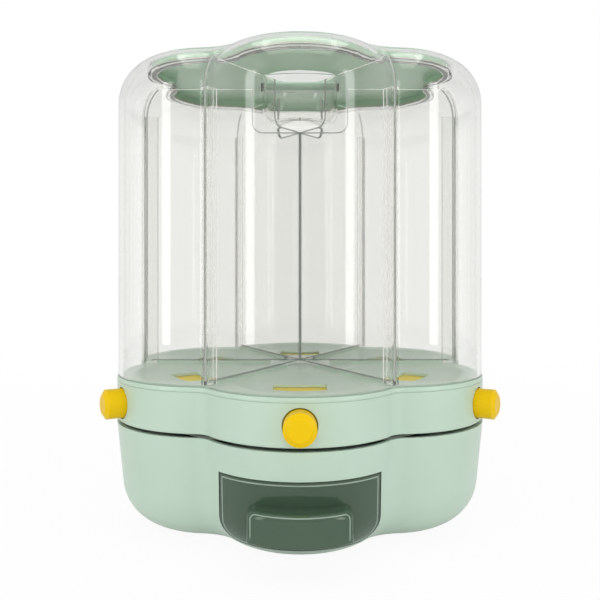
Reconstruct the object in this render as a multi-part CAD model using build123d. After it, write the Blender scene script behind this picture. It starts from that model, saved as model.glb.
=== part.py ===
from build123d import *
import math
import os

# Rotating grain dispenser, in millimetres. Z is up, the table is z = 0, the axis of rotation is Z
# and the drawer opens towards -Y. Lobe 1 is the front one, the others follow counter-clockwise.

# Lobed plan
lobe_count = 6
lobe_center_radius = 70.0
lobe_radius = 69.0
valley_radius = 14.0

# Heights of the stack
foot_height = 2.0
base_height = 71.0
turn_gap = 2.2
pan_height = 26.8
rim_height = 4.0
barrel_rise = 221.0

# Clearances, and the depth by which joined forms run into each other
slide_gap = 0.3
drop_in_gap = 0.6
bore_gap = 0.06
weld = 0.5

# Base bowl
base_wall = 2.8
base_draft = 7.0
base_rounding = 32.0
ledge_width = 2.0
ledge_height = 2.0
foot_radius = 8.0
foot_circle = 86.0
foot_bevel = 0.6

# Deck, pivot and ring bearing
deck_drop = 4.0
deck_thickness = 3.0
post_radius = 5.5
post_circle = 66.0
post_lobes = (1, 2, 4, 5)
post_screw_length = 24.0
hub_radius = 12.0
hub_bore = 2.4
bush_wall = 2.4
bush_length = 7.0
bush_flange = 3.5
bush_flange_height = 1.0
bush_boss = 3.0
bush_boss_length = 6.0
washer_radius = 18.0
washer_thickness = 1.6
roller_radius = 1.7
roller_length = 6.0
roller_count = 24
roller_circle = 110.0
roller_gap = 0.05
race_width = 11.0
cage_width = 10.0
cage_thickness = 1.2

# Outlets, gates and buttons
outlet_inset = 52.0  # from the lobe's tip to the middle of the outlet
outlet_length = 22.0
outlet_width = 35.0
outlet_corner = 2.0
duct_margin = 1.5
duct_wall = 1.6
chute_gap = 1.6
gate_thickness = 2.4
gate_side = 2.5
gate_tail = 10.0
gate_lap = 0.5
button_travel = 12.5
guide_wall = 1.8
flange_thickness = 3.0
flange_width = 30.0
flange_lift = 2.0
stem_radius = 4.5
stem_length = 7.0
button_radius = 9.9
button_hole_gap = 0.8
button_bevel = 3.3
button_bevel_depth = 2.2
button_wing = 3.6
button_wing_length = 3.2
button_wing_trim = 0.4
button_height_in_pan = 13.2
spring_radius = 4.0
spring_wire = 0.9
spring_turns = 6
spring_steps = 8
spring_pilot = 2.0
spring_seat_gap = 0.1

# Turntable pan and hopper floor
pan_wall = 2.8
pan_floor = 2.4
pan_edge = 1.2
floor_thickness = 3.0
floor_rim_width = 6.0
rim_rounding = 3.2
lip_depth = 3.0
lip_width = 2.0
dish_radius = 42.0
dish_depth = 4.7
dish_wall = 1.0
throat_wall = 1.5
divider_rib_height = 1.6
divider_rib_width = 1.2
floor_post_radius = 4.5
floor_post_circle = 92.0

# Barrel and dividers
barrel_inset = 0.8
barrel_wall = 2.5
barrel_shoulder = 33.0
barrel_seat_depth = 2.5
mouth_inset = 22.6
collar_wall = 2.0
collar_depth = 11.5
mouth_ledge = 4.4
mouth_ledge_thickness = 2.0
divider_thickness = 2.0
channel_rib_width = 1.5
channel_rib_depth = 9.0
notch_half_width = 37.5
notch_depth = 33.0
notch_corner = 7.7

# Lid
lid_plate = 2.5
lid_skirt = 2.2
lid_sink = 1.5
lid_edge = 1.2
seal_thickness = 1.0
seal_width = 3.0
cup_radius = 30.0
cup_wall = 2.0
cup_depth = 38.0
cup_rounding = 9.0
cup_flange = 3.5
cup_flange_thickness = 1.5
grip_width = 14.0
grip_height = 6.5
grip_drop = 5.5
grip_rounding = 2.8

# Drawer
window_half_width = 50.0
window_sill = 8.0
window_height = 45.3
window_corner = 16.0
drawer_gap = 0.6
panel_thickness = 2.5
tray_half_width = 45.5
tray_wall = 2.0
tray_floor = 2.2
tray_height = 36.5
tray_lift = 1.2
tray_back = 32.0
runner_width = 3.0
runner_offset = 30.0
runner_length = 66.0
side_guide_height = 22.0
pull_half_width = 31.0
pull_reach = 13.0
pull_wall = 2.0
pull_bow = 52.0
pull_rise = 20.0
pull_height = 18.0
pull_rounding = 4.0

# Screws
screw_shank = 1.45
screw_hole = 1.8
screw_head = 3.2
screw_head_hole = 3.6
screw_head_height = 2.2
screw_recess = 0.8
screw_end_room = 2.0
floor_screw_length = 14.0
pivot_screw_head = 5.0
pivot_screw_head_height = 2.6
pivot_screw_length = 13.0
grip_screw_length = 9.0

# Levels and reaches that follow
pitch = 360 / lobe_count
half_pitch = pitch / 2
lobe_tip = lobe_center_radius + lobe_radius
outlet_radius = lobe_tip - outlet_inset
base_bottom = foot_height
base_top = base_bottom + base_height
base_floor = base_bottom + base_wall
pan_bottom = base_top + turn_gap
pan_top = pan_bottom + pan_height
pan_deck = pan_bottom + pan_floor
floor_top = pan_top + rim_height
floor_under = floor_top - floor_thickness
barrel_foot = floor_top - barrel_seat_depth
barrel_top = floor_top + barrel_rise
deck_top = base_top - deck_drop
deck_bottom = deck_top - deck_thickness
button_level = pan_bottom + button_height_in_pan
screw_pilot = screw_shank + bore_gap

across = lobe_center_radius * math.sin(math.radians(half_pitch))
along = lobe_center_radius * math.cos(math.radians(half_pitch))
valley_distance = along + math.sqrt((lobe_radius + valley_radius) ** 2 - across**2)


def polar(radius, degrees, level=0.0):
    """Point at a radius and direction in plan."""
    turn = math.radians(degrees)
    return Vector(radius * math.cos(turn), radius * math.sin(turn), level)


def lobe_angle(index):
    """Direction of a lobe's tip; lobe 0 points to -Y."""
    return -90 + pitch * index


def to_lobe(shape, index):
    """Turns a shape that was drawn along +X to a lobe."""
    return Rot(0, 0, lobe_angle(index)) * shape


def to_valley(shape, index):
    """Turns a shape that was drawn along +X to the valley after a lobe."""
    return Rot(0, 0, lobe_angle(index) + half_pitch) * shape


def block(x_low, x_high, y_half, z_low, z_high):
    """Box along +X, symmetric about the XZ plane."""
    size = Box(x_high - x_low, 2 * y_half, z_high - z_low)
    return Pos((x_low + x_high) / 2, 0, (z_low + z_high) / 2) * size


def rod(radius, x_low, x_high, level):
    """Cylinder along +X at a height."""
    turned = Rot(0, 90, 0) * Cylinder(radius, x_high - x_low)
    return Pos((x_low + x_high) / 2, 0, level) * turned


def post(radius, low, high):
    """Upright cylinder on the Z axis."""
    return Pos(0, 0, (low + high) / 2) * Cylinder(radius, high - low)


def flower(inset, level):
    """Face of the lobed plan, drawn in by an inset: lobe arcs joined by valley arcs."""
    reach = lobe_radius - inset
    dip = valley_radius + inset
    edges = []
    for index in range(lobe_count):
        angle = lobe_angle(index)
        center = polar(lobe_center_radius, angle, level)
        next_center = polar(lobe_center_radius, angle + pitch, level)
        before = polar(valley_distance, angle - half_pitch, level)
        after = polar(valley_distance, angle + half_pitch, level)
        start = center + (before - center).normalized() * reach
        tip = polar(lobe_center_radius + reach, angle, level)
        end = center + (after - center).normalized() * reach
        bottom = polar(valley_distance - dip, angle + half_pitch, level)
        next_start = next_center + (after - next_center).normalized() * reach
        edges.append(Edge.make_three_point_arc(start, tip, end))
        edges.append(Edge.make_three_point_arc(end, bottom, next_start))
    return Face(Wire(edges))


def prism(inset, low, high):
    """Upright solid on the lobed plan."""
    return extrude(flower(inset, low), amount=high - low, dir=(0, 0, 1))


def ring(outer_inset, inner_inset, low, high):
    """Upright lobed ring between two insets."""
    return prism(outer_inset, low, high) - prism(inner_inset, low, high)


def draft_at(level):
    """How far the bowl's wall leans in at a height."""
    return base_draft * (base_top - level) / base_height


def bowl(inset, low):
    """Solid of the bowl's outside, drawn in by an inset, with its rounded bottom edge."""
    foot = flower(inset + draft_at(low), low)
    mouth = flower(inset, base_top)
    body = loft([foot, mouth], ruled=True)
    return fillet(body.edges().group_by(Axis.Z)[0], base_rounding - inset)


def bowl_slice(inset, low, high):
    """Slice of the bowl's leaning wall solid, without the rounding."""
    return loft([flower(inset + draft_at(low), low), flower(inset + draft_at(high), high)], ruled=True)


def screw(shank_radius, head_radius, head_height, length):
    """Pan-head screw, head down, its shank rising from z = 0 at the head's seat."""
    return post(shank_radius, 0, length) + post(head_radius, -head_height, 0)


# Base
window_low = base_bottom + window_sill
window_high = window_low + window_height
post_places = [polar(post_circle, lobe_angle(index)) for index in post_lobes]
post_foot = base_floor + post_screw_length / 2
tray_low = window_low + drawer_gap + tray_lift
runner_top = tray_low - slide_gap
screw_seat = base_bottom + screw_head_height + screw_recess


def window(inset):
    """Prism of the drawer's window, drawn in by an inset."""
    width = 2 * (window_half_width - inset)
    height = window_high - window_low - 2 * inset
    profile = Rectangle(width, height)
    profile = fillet(profile.vertices().group_by(Axis.Y)[0], window_corner - inset)
    plane = Plane((0, -lobe_center_radius, (window_low + window_high) / 2), (1, 0, 0), (0, -1, 0))
    return extrude(plane * profile, amount=2 * lobe_radius)


def base_shell():
    shell = bowl(0, base_bottom) - bowl(base_wall, base_floor)
    ledge = bowl_slice(base_wall - weld, deck_bottom - ledge_height, deck_bottom)
    ledge -= bowl_slice(base_wall + ledge_width, deck_bottom - ledge_height, deck_bottom)
    shell += ledge
    shell -= window(0)
    for place in post_places:
        boss = post(post_radius, base_floor - weld, post_foot)
        hole = post(screw_hole, base_bottom, post_foot) + post(screw_head_hole, base_bottom, screw_seat)
        shell += Pos(place) * boss
        shell -= Pos(place) * hole
    runner_y = -(tray_back + runner_length / 2)
    guide_x = tray_half_width + slide_gap + runner_width / 2
    stop = Box(2 * guide_x + runner_width, runner_width, side_guide_height + base_wall)
    stop_y = -tray_back + slide_gap + runner_width / 2
    guides = Pos(0, stop_y, base_floor + (side_guide_height - base_wall) / 2) * stop
    for side in (-1, 1):
        runner = Box(runner_width, runner_length, runner_top - base_bottom)
        guides += Pos(side * runner_offset, runner_y, (runner_top + base_bottom) / 2) * runner
        guide = Box(runner_width, runner_length, side_guide_height + base_wall)
        guides += Pos(side * guide_x, runner_y, base_floor + (side_guide_height - base_wall) / 2) * guide
    return shell + (guides & bowl(base_wall / 2, base_bottom + base_wall / 2))


def rubber_feet():
    pad = post(foot_radius, 0, foot_height)
    pad = chamfer(pad.edges().group_by(Axis.Z)[0], foot_bevel)
    return Compound([Pos(polar(foot_circle, lobe_angle(i))) * pad for i in range(lobe_count)])


def deck_screws():
    one = Pos(0, 0, screw_seat) * screw(screw_shank, screw_head, screw_head_height, post_screw_length)
    return Compound([Pos(place) * one for place in post_places])


# Deck, pivot and bearing
duct_half_length = outlet_length / 2 + duct_margin
duct_half_width = outlet_width / 2 + duct_margin
chute_bottom = window_high + chute_gap
bush_radius = hub_radius + bore_gap + bush_wall
bush_low = deck_top - bush_length
hub_end = bush_low - slide_gap
race_mid = (deck_top + pan_bottom) / 2
race_thickness = (pan_bottom - deck_top) / 2 - roller_radius - roller_gap


def outlet_block(grow, low, high):
    """Upright block around an outlet, larger than its duct by grow."""
    reach = duct_half_length + grow
    return block(outlet_radius - reach, outlet_radius + reach, duct_half_width + grow, low, high)


def base_deck():
    deck = bowl_slice(base_wall + slide_gap, deck_bottom, deck_top)
    chute = outlet_block(duct_margin + duct_wall, chute_bottom, deck_top)
    deck += to_lobe(chute, 0)
    deck -= to_lobe(outlet_block(duct_margin, chute_bottom, deck_top), 0)
    deck += post(bush_radius + bush_boss, deck_top - bush_boss_length, deck_top)
    for place in post_places:
        leg = post(post_radius, post_foot, deck_bottom + weld)
        deck += Pos(place) * leg
        deck -= Pos(place) * post(screw_pilot, post_foot, screw_seat + post_screw_length + screw_end_room)
    return deck - post(bush_radius, bush_low, deck_top)


def pivot_bush():
    bush = post(bush_radius, bush_low, deck_top)
    bush += post(bush_radius + bush_flange, deck_top, deck_top + bush_flange_height)
    return bush - post(hub_radius + bore_gap, bush_low, deck_top + bush_flange_height)


def race(low):
    """Flat ring that the rollers run on."""
    high = low + race_thickness
    return post(roller_circle + race_width / 2, low, high) - post(roller_circle - race_width / 2, low, high)


def bearing_cage():
    low = race_mid - cage_thickness / 2
    high = race_mid + cage_thickness / 2
    cage = post(roller_circle + cage_width / 2, low, high) - post(roller_circle - cage_width / 2, low, high)
    reach = roller_length / 2 + roller_gap
    pocket = block(roller_circle - reach, roller_circle + reach, roller_radius + roller_gap, low, high)
    for index in range(roller_count):
        cage -= Rot(0, 0, index * 360 / roller_count) * pocket
    return cage


def bearing_rollers():
    reach = roller_length / 2
    one = rod(roller_radius, roller_circle - reach, roller_circle + reach, race_mid)
    return Compound([Rot(0, 0, index * 360 / roller_count) * one for index in range(roller_count)])


def pivot_washer():
    low = hub_end - washer_thickness
    return post(washer_radius, low, hub_end) - post(hub_bore, low, hub_end)


def pivot_screw():
    body = screw(hub_bore - bore_gap, pivot_screw_head, pivot_screw_head_height, pivot_screw_length)
    return Pos(0, 0, hub_end - washer_thickness) * body


# Turntable pan
gate_top = floor_top - dish_depth - dish_wall - slide_gap
gate_bottom = gate_top - gate_thickness
gate_half_width = outlet_width / 2 + gate_side
pan_inner_lobe = lobe_radius - pan_wall
wing_half_width = button_radius + button_wing
wing_sag = pan_inner_lobe - math.sqrt(pan_inner_lobe**2 - wing_half_width**2)
wing_front = lobe_tip - pan_wall - wing_sag - drop_in_gap
wing_back = wing_front - button_wing_length
button_back = wing_back - stem_length
button_front = lobe_tip + button_travel + gate_lap
flange_back = button_back - flange_thickness
duct_outer = outlet_radius + duct_half_length + duct_wall
duct_top = gate_bottom - slide_gap


def turntable_pan():
    pan = prism(0, pan_bottom, pan_top)
    pan = fillet(pan.edges().group_by(Axis.Z)[0], pan_edge)
    pan = chamfer(pan.edges().group_by(Axis.Z)[-1], pan_edge / 2)
    pan -= prism(pan_wall, pan_deck, pan_top)
    pan += post(hub_radius, hub_end, pan_bottom)
    pan -= post(hub_bore, hub_end, pan_bottom)
    for index in range(lobe_count):
        pan += to_lobe(outlet_block(duct_wall, pan_bottom, duct_top), index)
        pan -= to_lobe(outlet_block(0, pan_bottom, duct_top), index)
        guide_y = gate_half_width + slide_gap + guide_wall / 2
        for side in (-1, 1):
            guide = block(outlet_radius - duct_half_length, flange_back - button_travel, guide_wall / 2,
                          pan_deck - weld, gate_top)
            pan += to_lobe(Pos(0, side * guide_y, 0) * guide, index)
        pilot = rod(spring_radius - spring_wire, duct_outer - weld, duct_outer + spring_pilot, button_level)
        pan += to_lobe(pilot, index)
        button_hole = rod(button_radius + button_hole_gap, wing_front, lobe_tip + pan_wall, button_level)
        pan -= to_lobe(button_hole, index)
        hole = post(screw_hole, pan_bottom, pan_deck)
        hole += post(screw_head_hole, pan_bottom, pan_bottom + screw_head_height / 2)
        pan -= to_valley(Pos(floor_post_circle, 0, 0) * hole, index)
    return pan


def push_button():
    button = rod(button_radius, button_back, button_front, button_level)
    tip = button.edges().group_by(Axis.X)[-1]
    button = chamfer(tip, button_bevel_depth, button_bevel)
    wing_half_height = button_radius - button_wing_trim
    button += block(wing_back, wing_front, wing_half_width,
                    button_level - wing_half_height, button_level + wing_half_height)
    return button - rod(stem_radius + bore_gap, button_back, button_back + stem_length, button_level)


def gate_slide():
    window_start = outlet_radius + outlet_length / 2 + gate_lap
    inner_end = outlet_radius - outlet_length / 2 - gate_tail
    gate = block(inner_end, button_back, gate_half_width, gate_bottom, gate_top)
    window_end = window_start + button_travel - gate_lap
    gate -= block(window_start, window_end, outlet_width / 2, gate_bottom, gate_top)
    flange_low = button_level - button_radius + flange_lift
    gate += block(flange_back, button_back, flange_width / 2, flange_low, gate_top)
    gate += rod(stem_radius, button_back - weld, button_back + stem_length - slide_gap, button_level)
    pilot = rod(spring_radius - spring_wire, flange_back - spring_pilot, flange_back + weld, button_level)
    return gate + pilot


def gate_spring():
    """Coil along +X between the duct and the gate's flange, from four-sided wire."""
    start = duct_outer + spring_wire / 2 + spring_seat_gap
    length = flange_back - duct_outer - spring_wire - 2 * spring_seat_gap
    count = spring_turns * spring_steps
    sections = []
    for step in range(count + 1):
        turn = 360 * step / spring_steps
        advance = start + length * step / count
        around = math.radians(turn)
        outward = Vector(0, math.cos(around), math.sin(around))
        center = Vector(advance, 0, button_level) + outward * spring_radius
        ahead = Vector(1, 0, 0) * (spring_wire / 2)
        aside = outward * (spring_wire / 2)
        corners = [center + ahead, center + aside, center - ahead, center - aside]
        sections.append(Wire.make_polygon(corners))
    return Solid.make_loft(sections, True)


# Hopper floor
dish_sphere = (dish_radius**2 + dish_depth**2) / (2 * dish_depth)
dish_center = floor_top - dish_depth + dish_sphere
throat_bottom = gate_top + slide_gap


def slot(grow, low, high):
    """Upright rounded slot of an outlet, along +X."""
    shape = RectangleRounded(outlet_length + 2 * grow, outlet_width + 2 * grow, outlet_corner + grow)
    return extrude(Pos(outlet_radius, 0, low) * shape, amount=high - low)


def hopper_floor():
    floor = prism(0, pan_top, floor_top)
    floor = fillet(floor.edges().group_by(Axis.Z)[-1], rim_rounding)
    floor -= prism(floor_rim_width, pan_top, floor_under)
    lip_outer = pan_wall + slide_gap
    floor += ring(lip_outer, lip_outer + lip_width, pan_top - lip_depth, pan_top + weld)
    seat_outer = barrel_inset - slide_gap / 2
    floor -= ring(seat_outer, barrel_inset + barrel_wall + slide_gap / 2, barrel_foot, floor_top)
    for index in range(lobe_count):
        cap = Pos(outlet_radius, 0, dish_center) * Sphere(dish_sphere + dish_wall)
        slab = post(dish_radius + dish_wall, gate_top, floor_under + weld)
        cap = to_lobe(cap & (Pos(outlet_radius, 0, 0) * slab), index)
        floor += cap & prism(floor_rim_width, gate_top, floor_top)
        floor += to_lobe(slot(throat_wall, throat_bottom, floor_under), index)
    for index in range(lobe_count):
        dish = Pos(outlet_radius, 0, dish_center) * Sphere(dish_sphere)
        floor -= to_lobe(dish, index) & prism(floor_rim_width, gate_top, floor_top)
        floor -= to_lobe(slot(0, throat_bottom, floor_top), index)
        support = Pos(floor_post_circle, 0, 0) * post(floor_post_radius, pan_deck, floor_under + weld)
        support -= Pos(floor_post_circle, 0, 0) * post(screw_pilot, pan_deck, pan_deck + floor_screw_length)
        floor += to_valley(support, index)
        rib_y = divider_thickness / 2 + slide_gap + divider_rib_width / 2
        for side in (-1, 1):
            rib = block(2 * hub_radius, channel_inner - slide_gap, divider_rib_width / 2,
                        floor_top - weld, floor_top + divider_rib_height)
            floor += to_valley(Pos(0, side * rib_y, 0) * rib, index)
    return floor


def floor_screws():
    one = screw(screw_shank, screw_head, screw_head_height / 2, floor_screw_length - screw_end_room)
    one = Pos(floor_post_circle, 0, pan_bottom + screw_head_height / 2) * one
    return Compound([to_valley(one, index) for index in range(lobe_count)])


# Barrel and dividers
barrel_inner = barrel_inset + barrel_wall
valley_inner = valley_distance - valley_radius - barrel_inner
channel_inner = valley_inner - channel_rib_depth
ledge_top = barrel_top - collar_depth + mouth_ledge_thickness
ledge_low = barrel_top - collar_depth
divider_top = ledge_low - slide_gap
shoulder_low = barrel_top - barrel_shoulder


def dome(inset, low):
    """Solid of the barrel's outside, drawn in by an inset, with its rounded shoulder."""
    body = prism(barrel_inset + inset, low, barrel_top - inset)
    return fillet(body.edges().group_by(Axis.Z)[-1], barrel_shoulder - inset)


def barrel():
    outside = dome(0, barrel_foot)
    wall = outside - dome(barrel_wall, barrel_foot)
    mouth_wall = ring(mouth_inset - collar_wall, mouth_inset, ledge_low, barrel_top)
    mouth_wall += ring(mouth_inset - collar_wall, mouth_inset + mouth_ledge, ledge_low, ledge_top)
    wall -= prism(mouth_inset, ledge_top, barrel_top)
    wall += mouth_wall & outside
    rib_y = divider_thickness / 2 + slide_gap + channel_rib_width / 2
    for index in range(lobe_count):
        for side in (-1, 1):
            rib = block(channel_inner, valley_inner + barrel_wall - weld, channel_rib_width / 2,
                        floor_top + slide_gap, shoulder_low)
            wall += to_valley(Pos(0, side * rib_y, 0) * rib, index)
    return wall


def divider_sheet():
    """Profile of one divider from the axis outwards, in the XZ plane."""
    low = floor_top + slide_gap
    shoulder_center = valley_inner - barrel_shoulder + barrel_wall
    bend = barrel_shoulder - barrel_wall - slide_gap
    edge = shoulder_center + bend
    top_x = shoulder_center + math.sqrt(bend**2 - (divider_top - shoulder_low) ** 2)
    mid = math.radians(math.degrees(math.asin((divider_top - shoulder_low) / bend)) / 2)
    bend_mid = (shoulder_center + bend * math.cos(mid), shoulder_low + bend * math.sin(mid))
    notch_low = divider_top - notch_depth
    corner = notch_corner
    corner_mid = corner * (1 - math.cos(math.radians(45)))
    lines = [
        Line((0, low), (edge, low)),
        Line((edge, low), (edge, shoulder_low)),
        ThreePointArc((edge, shoulder_low), bend_mid, (top_x, divider_top)),
        Line((top_x, divider_top), (notch_half_width, divider_top)),
        Line((notch_half_width, divider_top), (notch_half_width, notch_low + corner)),
        ThreePointArc(
            (notch_half_width, notch_low + corner),
            (notch_half_width - corner_mid, notch_low + corner_mid),
            (notch_half_width - corner, notch_low),
        ),
        Line((notch_half_width - corner, notch_low), (0, notch_low)),
        Line((0, notch_low), (0, low)),
    ]
    face = Plane.XZ * make_face(Wire([line.edge() for line in lines]))
    return extrude(face, amount=divider_thickness / 2, both=True)


def divider_star():
    sheet = divider_sheet()
    star = to_valley(sheet, 0)
    for index in range(1, lobe_count):
        star += to_valley(sheet, index)
    return star


# Lid
lid_top = barrel_top - lid_sink
lid_low = ledge_top + seal_thickness
lid_inset = mouth_inset + drop_in_gap
grip_level = lid_top - grip_drop - grip_height / 2


def lid():
    plate = prism(lid_inset, lid_low, lid_top)
    plate = fillet(plate.edges().group_by(Axis.Z)[-1], lid_edge)
    plate -= prism(lid_inset + lid_skirt, lid_low, lid_top - lid_plate)
    return plate - post(cup_radius + slide_gap, lid_low, lid_top)


def lid_seal():
    return ring(lid_inset + slide_gap, lid_inset + slide_gap + seal_width, ledge_top, lid_low)


def lid_cup():
    low = lid_top - cup_depth
    body = post(cup_radius, low, lid_top)
    body = fillet(body.edges().group_by(Axis.Z)[0], cup_rounding)
    body += post(cup_radius + cup_flange, lid_top, lid_top + cup_flange_thickness)
    hollow = post(cup_radius - cup_wall, low + cup_wall, lid_top + cup_flange_thickness)
    hollow = fillet(hollow.edges().group_by(Axis.Z)[0], cup_rounding - cup_wall)
    body -= hollow
    for side in (0, 180):
        body -= Rot(0, 0, side) * rod(screw_hole, 0, cup_radius, grip_level)
    return body


def grip_bar():
    half_span = math.sqrt((cup_radius - cup_wall - slide_gap) ** 2 - (grip_width / 2) ** 2)
    bar = Box(2 * half_span, grip_width, grip_height)
    bar = fillet(bar.edges().filter_by(Axis.X), grip_rounding)
    bar = Pos(0, 0, grip_level) * bar
    for side in (0, 180):
        hole_start = half_span - grip_screw_length
        bar -= Rot(0, 0, side) * rod(screw_pilot, hole_start, half_span, grip_level)
    return bar


def grip_screws():
    shank_end = cup_radius - grip_screw_length
    one = rod(screw_shank, shank_end, cup_radius, grip_level)
    one += rod(screw_head, cup_radius, cup_radius + screw_head_height / 2, grip_level)
    return Compound([Rot(0, 0, side) * one for side in (0, 180)])


# Drawer
def drawer():
    panel = window(drawer_gap) & (bowl(0, base_bottom) - bowl(panel_thickness, base_bottom + panel_thickness))
    tray = tray_block(0, tray_low) - tray_block(tray_wall, tray_low + tray_floor)
    tray &= bowl(panel_thickness / 2, base_bottom + panel_thickness / 2)
    return panel + tray + drawer_pull()


def tray_block(inset, low):
    """Solid of the tray, drawn in by an inset, with its bottom corners rounded."""
    high = tray_low + tray_height
    profile = Rectangle(2 * (tray_half_width - inset), high - low)
    belly = window_corner - (window_half_width - tray_half_width) - inset
    profile = fillet(profile.vertices().group_by(Axis.Y)[0], belly)
    plane = Plane((0, -tray_back - inset, (low + high) / 2), (1, 0, 0), (0, -1, 0))
    return extrude(plane * profile, amount=lobe_tip)


def pull_block(inset, low, high):
    """Solid of the pull: a bowed front cut to a width, with rounded edges, drawn in by an inset."""
    bow = Pos(0, pull_bow - lobe_tip - pull_reach) * Circle(pull_bow - inset)
    strip = Pos(0, -lobe_tip) * Rectangle(2 * (pull_half_width - inset), 2 * lobe_radius)
    body = extrude(Pos(0, 0, low) * (bow & strip), amount=high - low)
    front = body.edges().filter_by(Axis.Z).sort_by(Axis.Y)[:2]
    body = fillet(front, pull_rounding - inset)
    top = body.faces().sort_by(Axis.Z)[-1]
    return fillet(top.edges().filter_by(GeomType.CIRCLE).sort_by(Axis.Y)[:3], pull_rounding - inset)


def drawer_pull():
    low = base_bottom + pull_rise
    high = low + pull_height
    hood = pull_block(0, low, high) - pull_block(pull_wall, low - weld, high - pull_wall)
    return hood - bowl(panel_thickness / 2, base_bottom + panel_thickness / 2)


def main():
    os.makedirs("parts", exist_ok=True)
    nodes = {
        "base_shell": base_shell(),
        "rubber_feet": rubber_feet(),
        "deck_screws": deck_screws(),
        "base_deck": base_deck(),
        "pivot_bush": pivot_bush(),
        "bearing_lower_race": race(deck_top),
        "bearing_upper_race": race(pan_bottom - race_thickness),
        "bearing_cage": bearing_cage(),
        "bearing_rollers": bearing_rollers(),
        "pivot_washer": pivot_washer(),
        "pivot_screw": pivot_screw(),
        "turntable_pan": turntable_pan(),
        "hopper_floor": hopper_floor(),
        "floor_screws": floor_screws(),
        "barrel": barrel(),
        "divider_star": divider_star(),
        "lid": lid(),
        "lid_seal": lid_seal(),
        "lid_cup": lid_cup(),
        "grip_bar": grip_bar(),
        "grip_screws": grip_screws(),
        "drawer": drawer(),
    }
    button = push_button()
    slide = gate_slide()
    spring = gate_spring()
    for index in range(lobe_count):
        nodes[f"push_button_{index + 1}"] = to_lobe(button, index)
        nodes[f"gate_slide_{index + 1}"] = to_lobe(slide, index)
        nodes[f"gate_spring_{index + 1}"] = to_lobe(spring, index)
    for name, shape in nodes.items():
        export_step(shape, f"parts/{name}.step")


main()
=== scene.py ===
import bpy
import math
from mathutils import Color, Matrix, Vector
from mathutils.bvhtree import BVHTree

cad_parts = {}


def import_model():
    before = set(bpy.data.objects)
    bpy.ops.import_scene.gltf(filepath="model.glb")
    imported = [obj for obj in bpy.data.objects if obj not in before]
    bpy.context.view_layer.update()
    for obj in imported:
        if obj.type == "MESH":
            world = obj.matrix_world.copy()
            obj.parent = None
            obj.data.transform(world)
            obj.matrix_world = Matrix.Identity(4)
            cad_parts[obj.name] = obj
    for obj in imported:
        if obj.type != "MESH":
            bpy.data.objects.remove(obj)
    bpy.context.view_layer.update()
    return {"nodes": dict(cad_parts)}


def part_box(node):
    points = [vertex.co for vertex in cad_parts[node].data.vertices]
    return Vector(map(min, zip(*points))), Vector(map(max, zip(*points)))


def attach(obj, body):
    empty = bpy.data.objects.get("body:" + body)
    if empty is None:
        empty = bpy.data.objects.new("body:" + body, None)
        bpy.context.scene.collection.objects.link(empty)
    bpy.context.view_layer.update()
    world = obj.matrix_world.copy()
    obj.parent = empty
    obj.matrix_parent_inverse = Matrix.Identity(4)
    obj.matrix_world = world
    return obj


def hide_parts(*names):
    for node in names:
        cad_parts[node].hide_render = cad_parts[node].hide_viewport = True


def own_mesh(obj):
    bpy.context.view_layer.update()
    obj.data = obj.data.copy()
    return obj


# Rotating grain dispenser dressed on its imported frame. Metres, Z up, the drawer faces -Y.

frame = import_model()
nodes = frame["nodes"]

# Compartments, counted from the one in front
COMPARTMENTS = 6
TURN_STEP = 360 / COMPARTMENTS
FRONT_ANGLE = -90
NUMBERS = range(1, COMPARTMENTS + 1)

# Camera, level and in front of the object
CAMERA_PLACE = (0.0, -0.572, 0.187)
CAMERA_LENS = 44.7
CAMERA_SENSOR = 36.0
CAMERA_SHIFT = -0.072
CAMERA_NEAR = 0.01

# Colours as seen, 0 to 255
FULL = 255
MINT = (190, 211, 193)
MINT_DEEP = (187, 208, 189)
YELLOW = (236, 195, 2)
YELLOW_DEEP = (233, 191, 2)
# Gate slides: the buttons' yellow painted lighter, painted light to make up for the dim light inside the
# barrel
GATE_YELLOW_LIT = (244, 218, 14)
GATE_YELLOW_LIT_DEEP = (240, 214, 10)
SMOKE = (104, 132, 107)
LID = (188, 231, 193)
LID_DEEP = (184, 227, 189)
GRIP = (196, 222, 202)
GRIP_DEEP = (180, 210, 188)
IVORY = (224, 228, 220)
IVORY_DEEP = (208, 213, 205)
SILICONE = (226, 227, 205)
SILICONE_DEEP = (212, 213, 190)
RUBBER = (74, 77, 75)
RUBBER_DEEP = (58, 60, 59)
STEEL = (168, 170, 172)
STEEL_DEEP = (140, 142, 145)
SCREW_DARK = (70, 72, 72)
SCREW_DEEP = (58, 60, 59)
CLEAR_TINT = (251, 251, 250)
DIVIDER_TINT = (248, 248, 247)
# Painted shade: grey for the dividers' core and for the contact shadow along their feet
SHADE_LINE = (144, 156, 146)
SHADE_LINE_DEEP = (134, 146, 136)
# Painted light: a paler copy of the grey lines for the dividers' notches and outer edges, so they show
# mid-grey in the shade inside the barrel
EDGE_LINE_LIT = (214, 220, 214)
EDGE_LINE_LIT_DEEP = (206, 212, 206)
# Painted highlight: a lighter smoked green for the beads along the drawer's edges
SMOKE_HIGHLIGHT = (150, 168, 152)
SMOKE_HIGHLIGHT_DEEP = (138, 156, 140)

# Textures: scales are per metre, uneven gloss is a share of the roughness
NOISE_RANGE = (0.3, 0.7)
CLOUD_SCALE = 28.0
CLOUD_DETAIL = 3.0
GLOSS_SCALE = 60.0
GLOSS_DETAIL = 3.0
GLOSS_UNEVEN = 0.03
GRAIN_DETAIL = 2.0
GRAIN_STRENGTH = 0.35
COAT_ROUGHNESS = 0.08
CLEAR_INDEX = 1.45
CLEAR_GLOSS_SCALE = 40.0
CLEAR_GLOSS_DETAIL = 4.0
CLEAR_GLOSS_UNEVEN = 0.4
WAVE_SCALE = 6.0
WAVE_DETAIL = 0.0
WAVE_STRENGTH = 0.25
WAVE_DEPTH = 0.000008


def linear(color):
    """Scene-linear RGBA of a colour as seen."""
    return (*Color([value / FULL for value in color]).from_srgb_to_scene_linear(), 1.0)


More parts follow.
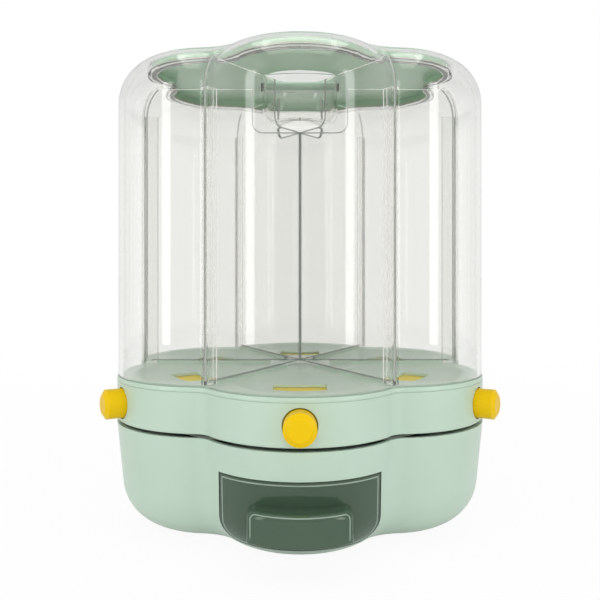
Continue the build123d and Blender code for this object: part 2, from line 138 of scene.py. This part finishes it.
class Nodes:
    """A node tree with short calls for adding and joining nodes."""

    def __init__(self, tree):
        self.tree = tree
        tree.nodes.clear()

    def add(self, kind, **values):
        node = self.tree.nodes.new(kind)
        for name, value in values.items():
            setattr(node, name, value)
        return node

    def join(self, source, target):
        self.tree.links.new(source, target)

    def noise(self, place, scale, detail):
        node = self.add("ShaderNodeTexNoise")
        node.inputs["Scale"].default_value = scale
        node.inputs["Detail"].default_value = detail
        self.join(place, node.inputs["Vector"])
        return node.outputs["Fac"]

    def remap(self, value, source, target):
        """A value carried over from one range to another."""
        node = self.add("ShaderNodeMapRange")
        node.inputs["From Min"].default_value = source[0]
        node.inputs["From Max"].default_value = source[1]
        node.inputs["To Min"].default_value = target[0]
        node.inputs["To Max"].default_value = target[1]
        self.join(value, node.inputs["Value"])
        return node.outputs["Result"]

    def uneven(self, noise, value, share):
        """A value that a noise moves up and down by a share of it."""
        return self.remap(noise, NOISE_RANGE, (value * (1 - share), value * (1 + share)))

    def blend(self, value, first, second):
        node = self.add("ShaderNodeMix", data_type="RGBA")
        node.inputs["A"].default_value = linear(first)
        node.inputs["B"].default_value = linear(second)
        self.join(value, node.inputs["Factor"])
        return node.outputs["Result"]

    def bump(self, height, strength, depth):
        node = self.add("ShaderNodeBump")
        node.inputs["Strength"].default_value = strength
        node.inputs["Distance"].default_value = depth
        self.join(height, node.inputs["Height"])
        return node.outputs["Normal"]

    def combine(self, operation, first, second):
        node = self.add("ShaderNodeMath", operation=operation)
        self.join(first, node.inputs[0])
        self.join(second, node.inputs[1])
        return node.outputs["Value"]

    def mix(self, share, first, second):
        """A shader that goes from the first to the second with the share."""
        node = self.add("ShaderNodeMixShader")
        self.join(share, node.inputs["Fac"])
        self.join(first, node.inputs[1])
        self.join(second, node.inputs[2])
        return node.outputs["Shader"]

    def show(self, shader, kind="ShaderNodeOutputMaterial"):
        output = self.add(kind)
        self.join(shader, output.inputs["Surface"])
        return output


def new_material(name):
    material = bpy.data.materials.new(name)
    material.use_nodes = True
    return material, Nodes(material.node_tree)


def moulded(name, color, deep, roughness, grain=2600.0, grain_depth=0.00001, coat=0.0, metal=0.0,
            stretch=1.0, shine=0.5):
    """Moulded plastic, rubber or plain metal: cloudy colour, fine grain and uneven gloss."""
    material, tree = new_material(name)
    shader = tree.add("ShaderNodeBsdfPrincipled")
    mapping = tree.add("ShaderNodeMapping")
    mapping.inputs["Scale"].default_value = (1, 1, stretch)
    tree.join(tree.add("ShaderNodeTexCoord").outputs["Object"], mapping.inputs["Vector"])
    place = mapping.outputs["Vector"]
    cloud = tree.remap(tree.noise(place, CLOUD_SCALE, CLOUD_DETAIL), NOISE_RANGE, (0, 1))
    tree.join(tree.blend(cloud, color, deep), shader.inputs["Base Color"])
    gloss = tree.noise(place, GLOSS_SCALE, GLOSS_DETAIL)
    tree.join(tree.uneven(gloss, roughness, GLOSS_UNEVEN), shader.inputs["Roughness"])
    relief = tree.noise(place, grain, GRAIN_DETAIL)
    tree.join(tree.bump(relief, GRAIN_STRENGTH, grain_depth), shader.inputs["Normal"])
    shader.inputs["Metallic"].default_value = metal
    shader.inputs["Specular IOR Level"].default_value = shine
    shader.inputs["Coat Weight"].default_value = coat
    shader.inputs["Coat Roughness"].default_value = COAT_ROUGHNESS
    tree.show(shader.outputs["BSDF"])
    return material


def see_through(name, tint, roughness, passed, density):
    """Clear or smoked plastic that lets lamps through, tinted in its depth, with a slightly wavy skin."""
    material, tree = new_material(name)
    shader = tree.add("ShaderNodeBsdfPrincipled")
    place = tree.add("ShaderNodeTexCoord").outputs["Object"]
    shader.inputs["Base Color"].default_value = linear(tint)
    shader.inputs["Transmission Weight"].default_value = passed
    shader.inputs["IOR"].default_value = CLEAR_INDEX
    gloss = tree.noise(place, CLEAR_GLOSS_SCALE, CLEAR_GLOSS_DETAIL)
    tree.join(tree.uneven(gloss, roughness, CLEAR_GLOSS_UNEVEN), shader.inputs["Roughness"])
    wave = tree.noise(place, WAVE_SCALE, WAVE_DETAIL)
    tree.join(tree.bump(wave, WAVE_STRENGTH, WAVE_DEPTH), shader.inputs["Normal"])
    lit = tree.add("ShaderNodeBsdfTransparent")
    lit.inputs["Color"].default_value = linear(tint)
    rays = tree.add("ShaderNodeLightPath").outputs
    output = tree.show(tree.mix(rays["Is Shadow Ray"], shader.outputs["BSDF"], lit.outputs["BSDF"]))
    depth = tree.add("ShaderNodeVolumeAbsorption")
    depth.inputs["Color"].default_value = linear(tint)
    depth.inputs["Density"].default_value = density
    tree.join(depth.outputs["Volume"], output.inputs["Volume"])
    return material


mint = moulded("mint_plastic", MINT, MINT_DEEP, roughness=0.30, coat=0.15)
yellow = moulded("yellow_plastic", YELLOW, YELLOW_DEEP, roughness=0.34, grain=1500.0, shine=0.15)
# The gate slides get a lighter copy of the buttons' yellow: painted light for the dim inside of the barrel
gate_yellow_lit = moulded("gate_yellow_painted_lit", GATE_YELLOW_LIT, GATE_YELLOW_LIT_DEEP, roughness=0.34, grain=1500.0,
                      shine=0.15)
ivory = moulded("ivory_plastic", IVORY, IVORY_DEEP, roughness=0.42)
lid_green = moulded("lid_green_plastic", LID, LID_DEEP, roughness=0.30, coat=0.1)
grip_green = moulded("grip_green_plastic", GRIP, GRIP_DEEP, roughness=0.28, coat=0.2)
silicone = moulded("silicone_rubber", SILICONE, SILICONE_DEEP, roughness=0.5, grain=900.0)
rubber = moulded("foot_rubber", RUBBER, RUBBER_DEEP, roughness=0.7, grain=700.0, grain_depth=0.0001)
steel = moulded("zinc_steel", STEEL, STEEL_DEEP, roughness=0.28, grain=1800.0, metal=1.0, stretch=0.2)
dark_steel = moulded("dark_screw_steel", SCREW_DARK, SCREW_DEEP, roughness=0.35, metal=1.0)
clear = see_through("clear_plastic", CLEAR_TINT, roughness=0.02, passed=1.0, density=170.0)
clear_divider = see_through("clear_divider_plastic", DIVIDER_TINT, roughness=0.02, passed=1.0, density=30.0)
smoke = see_through("smoked_plastic", SMOKE, roughness=0.06, passed=0.6, density=60.0)
# Grey painted shade on the dividers' core and feet
shade_line_grey = moulded("divider_painted_shade", SHADE_LINE, SHADE_LINE_DEEP, roughness=0.5)
# Paler copy of the grey lines for the notches and outer edges: painted light
edge_line_lit = moulded("divider_edge_painted_light", EDGE_LINE_LIT, EDGE_LINE_LIT_DEEP, roughness=0.5)
# Lighter smoked plastic for the beads on the drawer: painted highlight
smoke_highlight = moulded("smoked_painted_highlight", SMOKE_HIGHLIGHT, SMOKE_HIGHLIGHT_DEEP, roughness=0.2, coat=0.3)

# Finish of each solid; those not named here are of plain steel
finishes = {
    "base_shell": mint, "turntable_pan": mint, "hopper_floor": mint,
    "base_deck": ivory, "pivot_bush": ivory, "bearing_cage": ivory,
    "barrel": clear, "divider_star": clear_divider, "lid_cup": clear,
    "lid": lid_green, "grip_bar": grip_green, "lid_seal": silicone, "drawer": smoke, "rubber_feet": rubber,
    "grip_screws": dark_steel,
}
for number in NUMBERS:
    finishes[f"push_button_{number}"] = yellow
    finishes[f"gate_slide_{number}"] = gate_yellow_lit
for name, node in nodes.items():
    node.data.materials.clear()
    node.data.materials.append(finishes.get(name, steel))


def round_ring(middle, first, second, radius, sides):
    """Points of a round section, from the first direction towards the second."""
    turns = [2 * math.pi * side / sides for side in range(sides)]
    return [middle + (first * math.cos(turn) + second * math.sin(turn)) * radius for turn in turns]


def add_sweep(points, faces, rings, closed=False):
    """Adds a skin over rings of points that follow each other, counter-clockwise about the way ahead."""
    count = len(rings[0])
    first = len(points)
    for ring in rings:
        points.extend(ring)
    starts = list(range(first, len(points), count))
    following = starts[1:] + starts[:1] if closed else starts[1:]
    for here, ahead in zip(starts, following):
        for side in range(count):
            after = (side + 1) % count
            faces.append((here + side, here + after, ahead + after, ahead + side))
    if not closed:
        faces.append(tuple(reversed(range(first, first + count))))
        faces.append(tuple(range(starts[-1], starts[-1] + count)))


def add_piece(name, points, faces, material, body):
    mesh = bpy.data.meshes.new(name)
    mesh.from_pydata(points, [], faces)
    mesh.materials.append(material)
    piece = bpy.data.objects.new(name, mesh)
    bpy.context.scene.collection.objects.link(piece)
    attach(piece, body)
    return piece


# Return springs of round wire with closed ends, in place of the coarse coils
WIRE_RADIUS = 0.00045
SPRING_TURNS = 9
STEPS_PER_TURN = 20
WIRE_SIDES = 8


def coil_advance(turn, length):
    """How far along the spring a turn has come: flat end turns, even turns between them."""
    end = 2 * WIRE_RADIUS
    if turn < 1:
        return WIRE_RADIUS + end * turn
    if turn > SPRING_TURNS - 1:
        return length - WIRE_RADIUS - end * (SPRING_TURNS - turn)
    free = length - 2 * WIRE_RADIUS - 2 * end
    return WIRE_RADIUS + end + free * (turn - 1) / (SPRING_TURNS - 2)


def add_spring(number):
    """The spring of one button: a coil along the way out from the axis, sized by the first coarse coil."""
    low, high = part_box("gate_spring_1")
    inner, length = -high[1], high[1] - low[1]
    level = (low[2] + high[2]) / 2
    radius = (high[0] - low[0]) / 2 - WIRE_RADIUS
    turned = Matrix.Rotation(math.radians(FRONT_ANGLE + TURN_STEP * (number - 1)), 3, "Z")
    outwards = turned @ Vector((1, 0, 0))
    rings = []
    for step in range(SPRING_TURNS * STEPS_PER_TURN + 1):
        turn = step / STEPS_PER_TURN
        spoke = turned @ Vector((0, math.cos(2 * math.pi * turn), math.sin(2 * math.pi * turn)))
        middle = outwards * (inner + coil_advance(turn, length)) + Vector((0, 0, level)) + spoke * radius
        rings.append(round_ring(middle, spoke, -outwards, WIRE_RADIUS, WIRE_SIDES))
    points, faces = [], []
    add_sweep(points, faces, rings)
    wire = add_piece(f"return_spring_{number}", points, faces, steel, "turntable")
    wire.data.shade_smooth()
    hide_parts(f"gate_spring_{number}")
    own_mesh(wire)


for number in NUMBERS:
    add_spring(number)

# Lines painted in the clear dividers: grey painted shade on the core and along the feet, pale painted lines
# along the notches and outer edges
LINE_HALF = 0.0007  # half of a painted line's thickness across the sheet
FOOT_SHADE_LOW = 0.0018  # from the sheet's foot to the painted foot shade, just above the floor's ribs
FOOT_SHADE_HIGH = 0.0024
FOOT_SHADE_END = 0.004  # from the outer edge to the end of the painted foot shade
LINE_INSET = 0.0001  # from an edge of the sheet to a pale painted line
LINE_WIDTH = 0.0006
CORE_RADIUS = 0.0021
CORE_SIDES = 12
NOTCH_HALF = 0.0375
NOTCH_DEPTH = 0.033
NOTCH_CORNER = 0.0077
SHOULDER_LOW = 0.294  # height at which the outer edge begins to bend inwards
SHOULDER_BEND = 0.0302
BEND_STEPS = 8


def arc(center, radius, start, sweep):
    """Points of an arc in two coordinates, angles in degrees."""
    turns = [math.radians(start + sweep * step / BEND_STEPS) for step in range(BEND_STEPS + 1)]
    return [(center[0] + radius * math.cos(turn), center[1] + radius * math.sin(turn)) for turn in turns]


def notch_line(top, inset):
    """Line along a divider's notch from its top to the core, as radius and height, set into the sheet."""
    bottom = top - NOTCH_DEPTH
    center = (NOTCH_HALF - NOTCH_CORNER, bottom + NOTCH_CORNER)
    corner = arc(center, NOTCH_CORNER + inset, 0, -90)
    return [(NOTCH_HALF + inset, top - LINE_INSET), *corner, (CORE_RADIUS, bottom - inset)]


def edge_line(edge, foot, top, inset):
    """Line along a divider's outer edge and shoulder, as radius and height, set into the sheet."""
    center = (edge - SHOULDER_BEND, SHOULDER_LOW)
    sweep = math.degrees(math.asin((top - SHOULDER_LOW) / SHOULDER_BEND))
    return [(edge - inset, foot + FOOT_SHADE_HIGH), *arc(center, SHOULDER_BEND - inset, 0, sweep)]


def line_rings(turned, skin_line, deep_line):
    """Rings of four corners along a painted line between two lines in the sheet."""
    rings = []
    for skin, deep in zip(skin_line, deep_line):
        corners = [(skin, -LINE_HALF), (skin, LINE_HALF), (deep, LINE_HALF), (deep, -LINE_HALF)]
        rings.append([turned @ Vector((place[0], aside, place[1])) for place, aside in corners])
    return rings


def divider_painted_lines():
    low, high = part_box("divider_star")
    edge, foot, top = high[0], low[2], high[2]
    near, far = CORE_RADIUS / 2, edge - FOOT_SHADE_END
    plan = [(near, -LINE_HALF), (far, -LINE_HALF), (far, LINE_HALF), (near, LINE_HALF)]
    skin, deep = LINE_INSET, LINE_INSET + LINE_WIDTH
    notch = (notch_line(top, skin), notch_line(top, deep))
    outer_edge = (edge_line(edge, foot, top, skin), edge_line(edge, foot, top, deep))
    points, faces = [], []
    pale_points, pale_faces = [], []
    for step in range(COMPARTMENTS):
        turned = Matrix.Rotation(math.radians(TURN_STEP * step), 3, "Z")
        levels = (foot + FOOT_SHADE_LOW, foot + FOOT_SHADE_HIGH)
        add_sweep(points, faces, [[turned @ Vector((x, y, z)) for x, y in plan] for z in levels])
        add_sweep(pale_points, pale_faces, line_rings(turned, *notch))
        add_sweep(pale_points, pale_faces, line_rings(turned, *outer_edge))
    ends = [Vector((0, 0, level)) for level in (foot + FOOT_SHADE_LOW, top - NOTCH_DEPTH)]
    across, ahead = Vector((1, 0, 0)), Vector((0, 1, 0))
    add_sweep(points, faces, [round_ring(end, across, ahead, CORE_RADIUS, CORE_SIDES) for end in ends])
    # The grey strips and core are painted shade: contact shadow at the feet, the dark look of the core
    add_piece("divider_painted_lines", points, faces, shade_line_grey, "turntable")
    # The pale lines along the notches and outer edges are a lighter copy of the grey ones: painted light
    add_piece("divider_edge_painted_lines", pale_points, pale_faces, edge_line_lit, "turntable")


divider_painted_lines()

# Fine raised beads of lighter plastic on the drawer's front and on its pull, just inside their edges:
# painted highlights of the rounded edges
RIM_RADIUS = 0.0005
RIM_SIDES = 8
RIM_STEP = 0.0015
RIM_SIGHT = -0.4  # Y in front of the drawer, from which its skin is looked for
FRONT_SUNK = 0.0001  # from the drawer's skin to the middle of the highlight bead
FRONT_HALF = 0.0476
FRONT_LOW = 0.0124
FRONT_HIGH = 0.0529
FRONT_CORNER = 0.0136
PULL_SUNK = 0.0003
PULL_HALF = 0.0288
PULL_LOW = 0.0235
PULL_HIGH = 0.0388
PULL_CORNER = 0.003

drawer = nodes["drawer"]
drawer_skin = BVHTree.FromPolygons([drawer.matrix_world @ corner.co for corner in drawer.data.vertices],
                                   [face.vertices[:] for face in drawer.data.polygons])


def fine_steps(stops):
    """Points along straight runs between stops, close enough to follow a curved skin."""
    outline = []
    for (x0, z0), (x1, z1) in zip(stops, stops[1:]):
        count = max(1, round(math.hypot(x1 - x0, z1 - z0) / RIM_STEP))
        shares = [step / count for step in range(count)]
        outline.extend((x0 + (x1 - x0) * share, z0 + (z1 - z0) * share) for share in shares)
    return outline


def drawer_highlight_bead(name, outline, sunk, closed):
    """A raised line of lighter plastic on the drawer's skin along points in x and z, seen from the front: a
    painted highlight.
    """
    path = []
    for x, z in outline:
        place, out, _, _ = drawer_skin.ray_cast(Vector((x, RIM_SIGHT, z)), Vector((0, 1, 0)))
        path.append((place - out * sunk, out))
    last = len(path) - 1
    rings = []
    for step, (place, out) in enumerate(path):
        after = (step + 1) % len(path) if closed else min(step + 1, last)
        before = step - 1 if closed else max(step - 1, 0)
        along = (path[after][0] - path[before][0]).normalized()
        aside = along.cross(out).normalized()
        rings.append(round_ring(place, aside.cross(along), aside, RIM_RADIUS, RIM_SIDES))
    points, faces = [], []
    add_sweep(points, faces, rings, closed)
    # The bead is lighter than the drawer: a painted highlight of its rounded edge
    highlight_bead = add_piece(name, points, faces, smoke_highlight, "drawer")
    highlight_bead.data.shade_smooth()


front_stops = [(-FRONT_HALF, FRONT_HIGH)]
front_stops += arc((FRONT_CORNER - FRONT_HALF, FRONT_LOW + FRONT_CORNER), FRONT_CORNER, 180, 90)
front_stops += arc((FRONT_HALF - FRONT_CORNER, FRONT_LOW + FRONT_CORNER), FRONT_CORNER, 270, 90)
front_stops += [(FRONT_HALF, FRONT_HIGH), (-FRONT_HALF, FRONT_HIGH)]
drawer_highlight_bead("drawer_front_painted_highlight", fine_steps(front_stops), FRONT_SUNK, True)
pull_stops = [(PULL_HALF, PULL_LOW)]
pull_stops += arc((PULL_HALF - PULL_CORNER, PULL_HIGH - PULL_CORNER), PULL_CORNER, 0, 90)
pull_stops += arc((PULL_CORNER - PULL_HALF, PULL_HIGH - PULL_CORNER), PULL_CORNER, 90, 90)
pull_stops += [(-PULL_HALF, PULL_LOW)]
drawer_highlight_bead("pull_painted_highlight", fine_steps(pull_stops), PULL_SUNK, False)

# Floor, backdrop, world and lamps; the nested clear walls need many light bounces
LIGHT_BOUNCES = 32
WHITE = (1.0, 1.0, 1.0, 1.0)
FLOOR_HALF = 6.0
FLOOR_GREY = (0.9, 0.9, 0.9, 1.0)
FLOOR_WHITE = 0.93  # share of white close to the object, where the shadow shows
GLOSS_WHITE = 0.3
SHADOW_REACH = (0.25, 1.0)  # distances over which the shadow fades into white
SKY_COLOR = (0.96, 0.98, 1.0, 1.0)
SKY_STRENGTH = 0.65
SKY_RISE = (0.14, 0.26)  # upward part of the directions over which the white sky dims
SKY_DIM = 0.83


def white_for_sight(tree):
    """Share of white that rays see: all from the camera and through clear plastic, less off gloss."""
    rays = tree.add("ShaderNodeLightPath").outputs
    straight = tree.combine("MAXIMUM", rays["Is Camera Ray"], rays["Is Transmission Ray"])
    gloss = tree.remap(rays["Is Glossy Ray"], (0, 1), (0, GLOSS_WHITE))
    return tree.combine("MAXIMUM", straight, gloss)


def high_sky(tree):
    """Strength of the white sky: full for the camera and near the horizon, dimmer high up for other rays."""
    way = tree.add("ShaderNodeSeparateXYZ")
    tree.join(tree.add("ShaderNodeTexCoord").outputs["Generated"], way.inputs["Vector"])
    dimmed = tree.remap(way.outputs["Z"], SKY_RISE, (1, SKY_DIM))
    rays = tree.add("ShaderNodeLightPath").outputs
    return tree.combine("MAXIMUM", rays["Is Camera Ray"], dimmed)


def floor():
    corners = [(-FLOOR_HALF, -FLOOR_HALF, 0), (FLOOR_HALF, -FLOOR_HALF, 0), (FLOOR_HALF, FLOOR_HALF, 0),
               (-FLOOR_HALF, FLOOR_HALF, 0)]
    mesh = bpy.data.meshes.new("floor")
    mesh.from_pydata(corners, [], [(0, 1, 2, 3)])
    plane = bpy.data.objects.new("floor", mesh)
    bpy.context.scene.collection.objects.link(plane)
    material, tree = new_material("white_floor")
    matt = tree.add("ShaderNodeBsdfDiffuse")
    matt.inputs["Color"].default_value = FLOOR_GREY
    glow = tree.add("ShaderNodeEmission")
    away = tree.add("ShaderNodeVectorMath", operation="LENGTH")
    tree.join(tree.add("ShaderNodeTexCoord").outputs["Object"], away.inputs[0])
    fade = tree.remap(away.outputs["Value"], SHADOW_REACH, (FLOOR_WHITE, 1))
    share = tree.combine("MULTIPLY", white_for_sight(tree), fade)
    tree.show(tree.mix(share, matt.outputs["BSDF"], glow.outputs["Emission"]))
    mesh.materials.append(material)


def world():
    sky = bpy.data.worlds.new("studio")
    sky.use_nodes = True
    tree = Nodes(sky.node_tree)
    plain = tree.add("ShaderNodeBackground")
    plain.inputs["Color"].default_value = SKY_COLOR
    plain.inputs["Strength"].default_value = SKY_STRENGTH
    white = tree.add("ShaderNodeBackground")
    white.inputs["Color"].default_value = WHITE
    tree.join(high_sky(tree), white.inputs["Strength"])
    seen = tree.mix(white_for_sight(tree), plain.outputs["Background"], white.outputs["Background"])
    tree.show(seen, "ShaderNodeOutputWorld")
    bpy.context.scene.world = sky


def lamp(name, place, target, width, height, power, mirrored=True):
    """A lit rectangle that faces its target and may show in gloss and clear plastic."""
    light = bpy.data.lights.new(name, "AREA")
    light.shape = "RECTANGLE"
    light.size = width
    light.size_y = height
    light.energy = power
    holder = bpy.data.objects.new(name, light)
    aim = Vector(target) - Vector(place)
    holder.matrix_world = Matrix.Translation(place) @ aim.to_track_quat("-Z", "Y").to_matrix().to_4x4()
    holder.visible_glossy = mirrored
    holder.visible_transmission = mirrored
    bpy.context.scene.collection.objects.link(holder)


def camera():
    data = bpy.data.cameras.new("camera")
    data.sensor_width = CAMERA_SENSOR
    data.lens = CAMERA_LENS
    data.shift_y = CAMERA_SHIFT
    data.clip_start = CAMERA_NEAR
    holder = bpy.data.objects.new("camera", data)
    holder.location = CAMERA_PLACE
    holder.rotation_euler = (math.radians(90), 0, 0)
    bpy.context.scene.collection.objects.link(holder)
    bpy.context.scene.camera = holder


floor()
world()
lamp("top_box", place=(0.0, -0.1, 1.5), target=(0, 0, 0.1), width=1.2, height=1.2, power=6.6)
lamp("left_strip", place=(-0.95, -0.75, 0.35), target=(0, 0, 0.2), width=0.22, height=0.9, power=2.0)
lamp("right_strip", place=(0.95, -0.75, 0.35), target=(0, 0, 0.2), width=0.22, height=0.9, power=2.0)
lamp("front_box", place=(0.0, -1.8, 0.9), target=(0, 0, 0.15), width=0.8, height=0.5, power=6.6,
     mirrored=False)
camera()
bpy.context.scene.view_settings.view_transform = "Standard"
bpy.context.scene.cycles.max_bounces = LIGHT_BOUNCES
bpy.context.scene.cycles.transmission_bounces = LIGHT_BOUNCES
bpy.context.scene.cycles.glossy_bounces = LIGHT_BOUNCES
